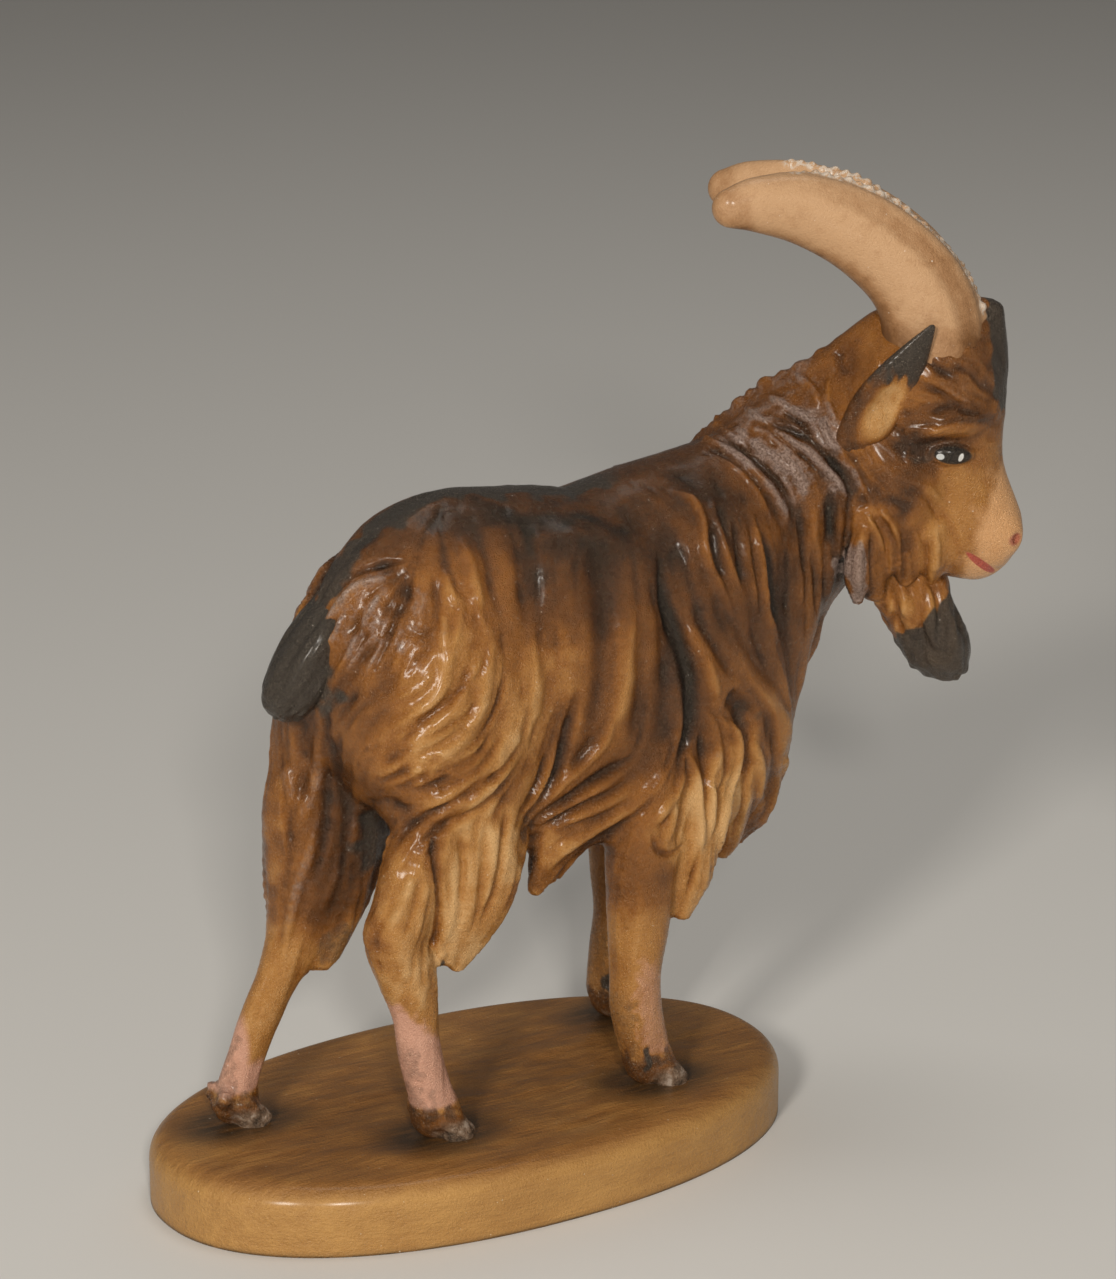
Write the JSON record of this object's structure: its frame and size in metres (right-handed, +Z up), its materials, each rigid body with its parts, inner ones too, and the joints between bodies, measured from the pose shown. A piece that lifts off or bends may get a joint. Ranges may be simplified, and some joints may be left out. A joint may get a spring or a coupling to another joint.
{
  "type": "carved goat figurine",
  "caption": "Carved and painted wooden billy goat with swept-back horns and a beard, standing on an oval wooden plinth, for display.",
  "frame": {"origin": "centre of the plinth's flat underside", "axes": "+Z up; +X the way the body faces, along the plinth's long axis; +Y the goat's left. The head is turned 32 degrees to its right"},
  "size_m": [0.1068, 0.046, 0.1127],
  "materials": {
    "plinth": "golden ochre stain, brushed darker on top, satin varnish",
    "coat": "golden-brown stain wiped over carved hair, dark in the cuts, satin varnish",
    "leg": "brown stain, pink painted shins and silver-grey hooves, satin varnish",
    "head": "brown stain, pale muzzle and painted eyes, satin varnish",
    "beard": "brown stain fading to black, satin varnish",
    "horn": "pale natural wood with brown shading, satin varnish",
    "ear": "brown stain with a tan inside, satin varnish",
    "tail": "black stain, satin varnish",
    "dowel": "bare turned wood"
  },
  "bodies": {
    "root": {"plinth": "plinth", "body": "coat", "leg_front_left": "leg", "leg_front_right": "leg", "leg_hind_left": "leg", "leg_hind_right": "leg", "head": "head", "beard": "beard", "horn_left": "horn", "horn_right": "horn", "ear_left": "ear", "ear_right": "ear", "tail": "tail", "neck_dowel": "dowel", "tail_dowel": "dowel", "beard_dowel": "dowel", "leg_dowels": "dowel", "foot_dowels": "dowel", "horn_dowels": "dowel", "ear_pegs": "dowel"}
  },
  "joints": []
}
